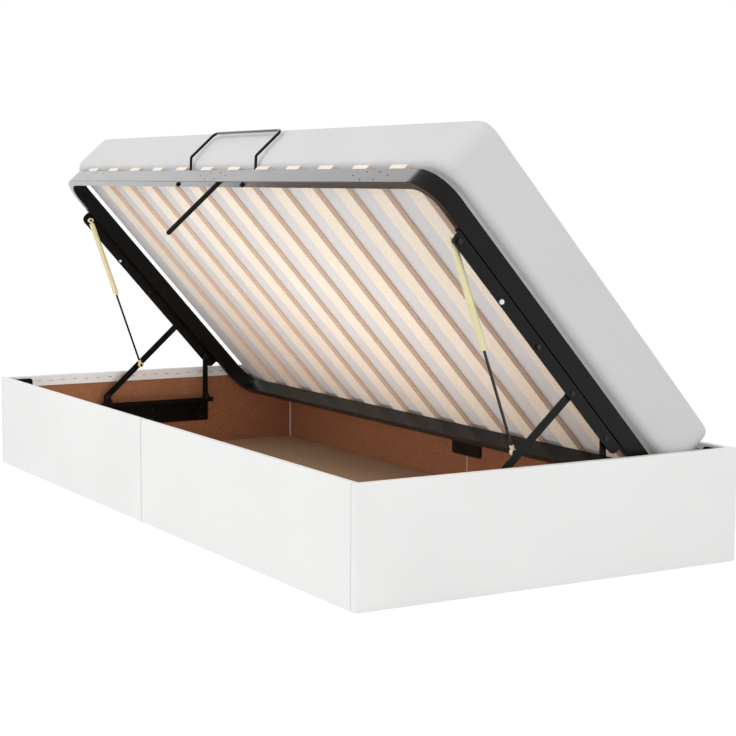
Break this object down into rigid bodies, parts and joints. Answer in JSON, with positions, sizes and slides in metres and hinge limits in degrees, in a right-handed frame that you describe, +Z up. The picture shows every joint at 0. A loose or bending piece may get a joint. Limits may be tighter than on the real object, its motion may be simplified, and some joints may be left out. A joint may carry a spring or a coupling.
{
  "type": "ottoman bed frame",
  "caption": "Side-lift ottoman bed: an upholstered storage box under a slatted steel platform that swings up on folding arms and gas struts, with its mattress.",
  "frame": {"origin": "centre of the whole part on the floor, which is also the centre of the box footprint", "axes": "+X runs along the bed towards the near short end, -Y is the long side that opens, +Y is the hinge side, +Z is up"},
  "size_m": [2.06, 0.96, 0.9435],
  "materials": {
    "cover": "soft matt faux leather",
    "board": "bare particle board",
    "slat": "sanded",
    "floor_board": "hardboard",
    "black_steel": "satin powder coat",
    "strut_paint": "gloss paint",
    "rod_steel": "ground",
    "bolt_steel": "zinc plated",
    "mattress_fabric": "woven cloth"
  },
  "bodies": {
    "base": {"front_left_board": "board", "front_left_cover": "cover", "front_right_board": "board", "front_right_cover": "cover", "rear_left_board": "board", "rear_left_cover": "cover", "rear_right_board": "board", "rear_right_cover": "cover", "near_end_board": "board", "near_end_cover": "cover", "far_end_board": "board", "far_end_cover": "cover", "corner_bracket_near_rear": "black_steel", "corner_bracket_near_front": "black_steel", "corner_bracket_far_rear": "black_steel", "corner_bracket_far_front": "black_steel", "seam_plates": "black_steel", "base_screws": "black_steel", "floor_cleats": "board", "centre_beam": "board", "floor_board_left": "floor_board", "floor_board_right": "floor_board", "base_bracket_near": "black_steel", "base_bracket_far": "black_steel", "arm_foot_pins": "black_steel", "link_foot_pins": "black_steel"},
    "platform": {"lift_frame": "black_steel", "slat_01": "slat", "slat_02": "slat", "slat_03": "slat", "slat_04": "slat", "slat_05": "slat", "slat_06": "slat", "slat_07": "slat", "slat_08": "slat", "slat_09": "slat", "slat_10": "slat", "slat_11": "slat", "slat_12": "slat", "lift_bar_near": "black_steel", "lift_bar_far": "black_steel", "link_top_pins": "black_steel", "arm_top_studs": "black_steel", "strut_top_studs": "black_steel", "anchor_bolts": "bolt_steel", "mattress_retainer": "black_steel", "retainer_nuts": "black_steel", "support_leg": "black_steel", "mattress": "mattress_fabric"},
    "link_near": {"link_near": "black_steel"},
    "link_far": {"link_far": "black_steel"},
    "arm_near": {"arm_near": "black_steel"},
    "arm_far": {"arm_far": "black_steel"},
    "strut_rod_near": {"strut_foot_near": "strut_paint", "strut_rod_near": "rod_steel"},
    "strut_rod_far": {"strut_foot_far": "strut_paint", "strut_rod_far": "rod_steel"},
    "strut_body_near": {"strut_body_near": "strut_paint"},
    "strut_body_far": {"strut_body_far": "strut_paint"}
  },
  "joints": [
    {"name": "lift", "type": "hinge", "parent": "base", "child": "link_near", "pos_m": [0.9783, 0.15079, 0.163], "axis": [1, 0, 0], "range_deg": [-85.01, 0], "stiffness_Nm_per_rad": 81, "springref_deg": 56.72},
    {"name": "platform_tilt", "type": "hinge", "parent": "link_near", "child": "platform", "pos_m": [0.9783, 0.15061, 0.2875], "axis": [1, 0, 0], "range_deg": [0, 133.17]},
    {"name": "link_far_turn", "type": "hinge", "parent": "base", "child": "link_far", "pos_m": [-0.9783, 0.15079, 0.163], "axis": [1, 0, 0], "range_deg": [-85.03, 0]},
    {"name": "arm_near_turn", "type": "hinge", "parent": "base", "child": "arm_near", "pos_m": [0.9825, -0.17136, 0.179], "axis": [1, 0, 0], "range_deg": [-42.79, 0]},
    {"name": "arm_far_turn", "type": "hinge", "parent": "base", "child": "arm_far", "pos_m": [-0.9825, -0.17136, 0.179], "axis": [1, 0, 0], "range_deg": [-42.79, 0]},
    {"name": "strut_near_turn", "type": "hinge", "parent": "arm_near", "child": "strut_rod_near", "pos_m": [0.964, -0.06842, 0.27121], "axis": [1, 0, 0], "range_deg": [0, 113.81]},
    {"name": "strut_far_turn", "type": "hinge", "parent": "arm_far", "child": "strut_rod_far", "pos_m": [-0.964, -0.06842, 0.27121], "axis": [1, 0, 0], "range_deg": [0, 113.81]},
    {"name": "strut_near_slide", "type": "slide", "parent": "strut_rod_near", "child": "strut_body_near", "axis": [0, -0.3357, 0.942], "range_m": [-0.20824, 0]},
    {"name": "strut_far_slide", "type": "slide", "parent": "strut_rod_far", "child": "strut_body_far", "axis": [0, -0.3357, 0.942], "range_m": [-0.20824, 0]}
  ],
  "couplings": [
    {"joint": "platform_tilt", "follows": "lift", "ratio": -1.5663},
    {"joint": "link_far_turn", "follows": "lift", "ratio": 1},
    {"joint": "arm_near_turn", "follows": "lift", "ratio": 0.50309},
    {"joint": "arm_far_turn", "follows": "lift", "ratio": 0.50309},
    {"joint": "strut_near_turn", "follows": "lift", "ratio": -1.3385},
    {"joint": "strut_far_turn", "follows": "lift", "ratio": -1.3385},
    {"joint": "strut_near_slide", "follows": "lift", "m_per_rad": 0.14028},
    {"joint": "strut_far_slide", "follows": "lift", "m_per_rad": 0.14028}
  ]
}
